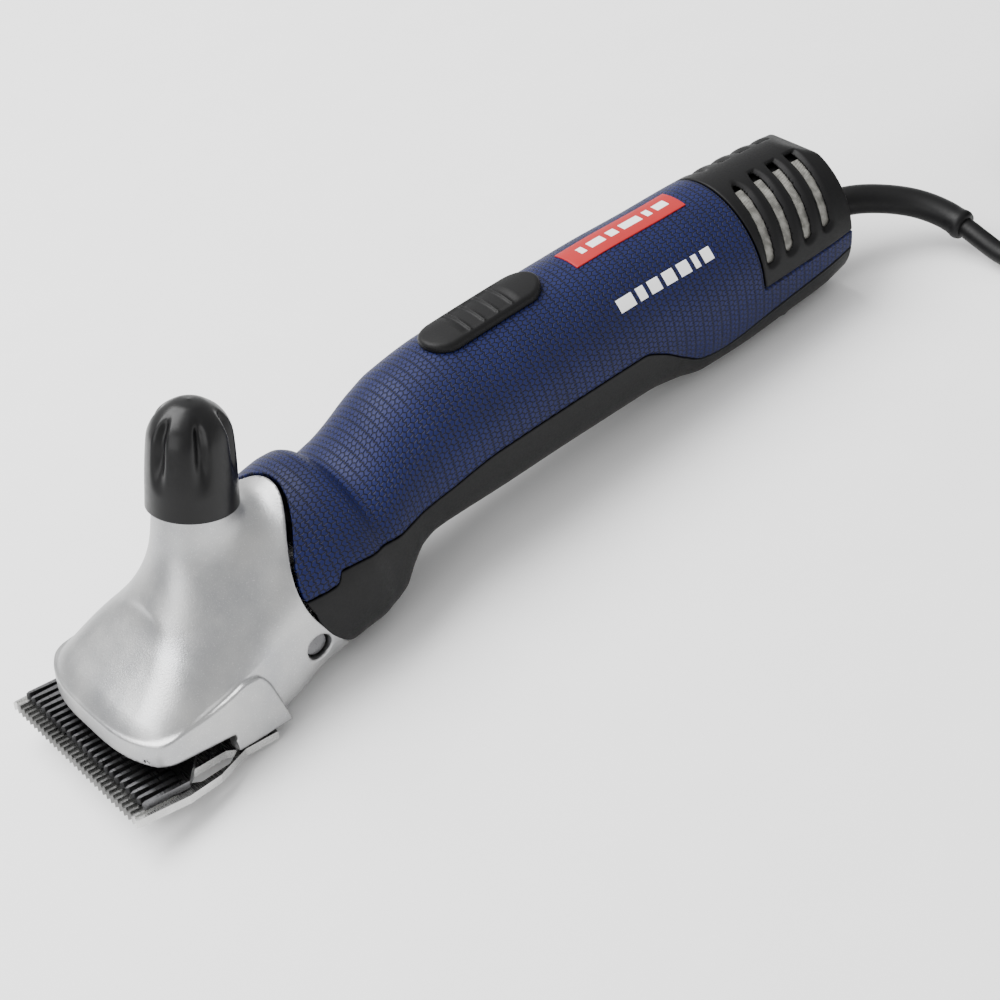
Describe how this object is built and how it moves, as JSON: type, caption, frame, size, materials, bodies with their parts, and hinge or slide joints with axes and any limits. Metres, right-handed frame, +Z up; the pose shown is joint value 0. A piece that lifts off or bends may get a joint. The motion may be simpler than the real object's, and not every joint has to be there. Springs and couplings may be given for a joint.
{
  "type": "electric sheep clipper handpiece",
  "caption": "Electric shearing handpiece: cast head with comb and reciprocating cutter, tension knob, tapered motor grip with slide switch, vented rear cap and corded plug.",
  "frame": {"origin": "centre of the handpiece's footprint on the surface it lies on, cord left out", "axes": "+X back from the comb to the tail, +Y across to the right-hand side seen from the tail's top, +Z up from the surface; the motor axis dips 3.86 degrees towards the tail"},
  "size_m": [0.4882, 0.1481, 0.1034],
  "materials": {
    "cast_aluminium": "satin as cast",
    "tool_steel": "ground steel",
    "dark_steel": "oiled dark steel",
    "blue_rubber": "textured soft grip",
    "black_plastic": "fine matt",
    "black_rubber": "smooth rubber",
    "copper": "enamelled copper",
    "brass": "bright",
    "laminated_steel": "laminated",
    "carbon": "pressed carbon",
    "filter_mesh": "woven filter mesh",
    "red_label": "printed label",
    "white_plastic": "moulded"
  },
  "bodies": {
    "housing": {"head_casting": "cast_aluminium", "side_screw_left": "dark_steel", "side_screw_right": "dark_steel", "comb": "tool_steel", "comb_screw_left": "tool_steel", "comb_screw_right": "tool_steel", "pivot_post": "tool_steel", "grip_housing": "blue_rubber", "under_cover": "black_plastic", "cover_screw_1": "dark_steel", "cover_screw_2": "dark_steel", "cover_screw_3": "dark_steel", "cover_screw_4": "dark_steel", "rear_cap": "black_plastic", "filter_left": "filter_mesh", "filter_right": "filter_mesh", "rear_bulkhead": "black_plastic", "badge_plate": "red_label", "switch_body": "black_plastic", "stator_core": "laminated_steel", "field_winding_front": "copper", "field_winding_rear": "copper", "front_bearing": "tool_steel", "rear_bearing": "tool_steel", "crank_bearing": "tool_steel", "bearing_bracket": "black_plastic", "brush_holder_left": "brass", "brush_holder_right": "brass", "carbon_brush_left": "carbon", "carbon_brush_right": "carbon", "brush_spring_left": "tool_steel", "brush_spring_right": "tool_steel", "gear_plate": "cast_aluminium", "crank_carrier": "cast_aluminium", "strain_relief": "black_rubber", "cord_tube": "black_rubber", "cord_tail": "black_rubber", "cord_coil": "black_rubber", "plug_body": "black_rubber", "plug_pin_left": "brass", "plug_pin_right": "brass"},
    "rotor": {"rotor_shaft": "tool_steel", "armature_core": "laminated_steel", "armature_winding_front": "copper", "armature_winding_rear": "copper", "commutator": "copper", "motor_pinion": "tool_steel", "cooling_fan": "white_plastic"},
    "crank": {"crank_shaft": "tool_steel", "crank_roller": "tool_steel", "crank_wheel": "brass"},
    "lever": {"swing_lever": "tool_steel", "cutter": "dark_steel", "drive_pin_left": "tool_steel", "drive_pin_right": "tool_steel"},
    "sleeve": {"pressure_sleeve": "tool_steel", "tension_spring": "tool_steel"},
    "knob": {"tension_knob": "black_plastic"},
    "switch": {"switch_slider": "black_plastic", "switch_rod": "tool_steel"}
  },
  "joints": [
    {"name": "rotor_spin", "type": "hinge", "parent": "housing", "child": "rotor", "pos_m": [0.00462, 0, 0.04089], "axis": [0.9977, 0, -0.0673], "continuous": true},
    {"name": "crank_spin", "type": "hinge", "parent": "housing", "child": "crank", "pos_m": [-0.05661, 0, 0.02467], "axis": [0.9977, 0, -0.0673], "continuous": true},
    {"name": "lever_swing", "type": "hinge", "parent": "housing", "child": "lever", "pos_m": [-0.09484, 0, 0.01078], "axis": [0.2055, 0, 0.9787], "range_deg": [-3.4, 3.4]},
    {"name": "knob_turn", "type": "hinge", "parent": "sleeve", "child": "knob", "pos_m": [-0.08951, 0, 0.07029], "axis": [0.3397, 0, 0.9405], "range_deg": [-90.1, 720.1]},
    {"name": "sleeve_travel", "type": "slide", "parent": "housing", "child": "sleeve", "axis": [0.3397, 0, 0.9405], "range_m": [-0.00038, 0.003]},
    {"name": "switch_slide", "type": "slide", "parent": "housing", "child": "switch", "axis": [-0.9977, 0, 0.0673], "range_m": [0, 0.005]}
  ],
  "couplings": [
    {"joint": "crank_spin", "follows": "rotor_spin", "ratio": -0.33333},
    {"joint": "knob_turn", "follows": "sleeve_travel", "rad_per_m": 4188.8}
  ]
}
